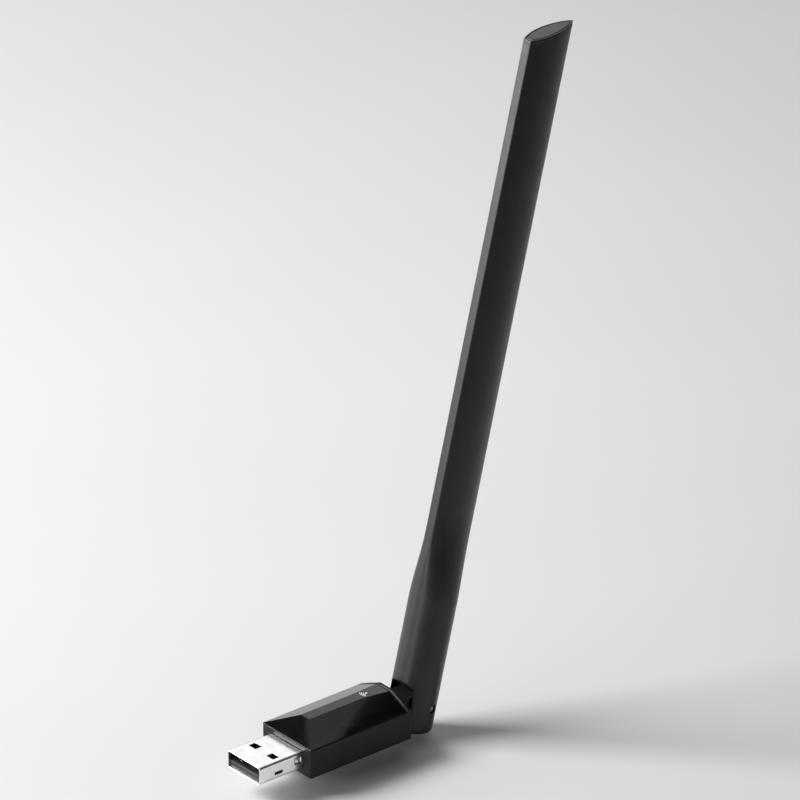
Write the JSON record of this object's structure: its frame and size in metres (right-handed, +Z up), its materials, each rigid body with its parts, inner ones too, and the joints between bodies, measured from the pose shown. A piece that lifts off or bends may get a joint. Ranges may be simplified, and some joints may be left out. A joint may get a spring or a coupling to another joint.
{
  "type": "usb wifi adapter",
  "caption": "Slim USB-A stick with a faceted cover and a tall paddle antenna on a friction hinge at its far end.",
  "frame": {"origin": "centre of the USB plug's open mouth, level with the middle of the plug's height", "axes": "+X from the plug's mouth towards the antenna, +Y across the stick, +Z up through the cover"},
  "size_m": [0.0994, 0.018, 0.1693],
  "materials": {
    "plated_steel": "nickel-plated sheet steel, bright with a fine brushed grain",
    "insulator": "black moulded thermoplastic",
    "gold": "gold-flashed contact strip",
    "case_matte": "fine spark-eroded black plastic",
    "cover_gloss": "piano black plastic",
    "board": "green solder mask over glass laminate",
    "chip": "black moulding compound",
    "pad": "soft grey-blue silicone",
    "tin": "tin-plated sheet",
    "ferrite": "dark grey ferrite",
    "ceramic": "tan ceramic",
    "cable": "thin black fluoropolymer jacket",
    "antenna_matte": "fine-textured satin black plastic",
    "steel": "ground steel",
    "nylon": "black nylon",
    "copper": "bare copper foil"
  },
  "bodies": {
    "adapter": {"usb_shell": "plated_steel", "usb_insulator": "insulator", "usb_contacts": "gold", "lower_casing": "case_matte", "top_cover": "cover_gloss", "circuit_board": "board", "wifi_chip": "chip", "rf_front_end": "chip", "thermal_pad": "pad", "shield_can": "tin", "power_inductor": "ferrite", "voltage_regulator": "chip", "crystal": "tin", "ceramic_capacitors": "ceramic", "chip_resistors": "chip", "rf_filter": "ceramic", "hinge_knuckle": "case_matte", "coax_body": "cable", "coax_clip": "tin"},
    "antenna": {"antenna_sleeve": "antenna_matte", "antenna_tip_cap": "antenna_matte", "hinge_pins": "steel", "friction_washers": "nylon", "coax_flex": "cable", "coax_antenna": "cable", "antenna_board": "board", "antenna_elements": "copper"}
  },
  "joints": [
    {"name": "antenna_tilt", "type": "hinge", "parent": "adapter", "child": "antenna", "pos_m": [0.053, 0, -0.001], "axis": [0, 1, 0], "range_deg": [-14, 76], "deforming": ["coax_flex"]}
  ]
}
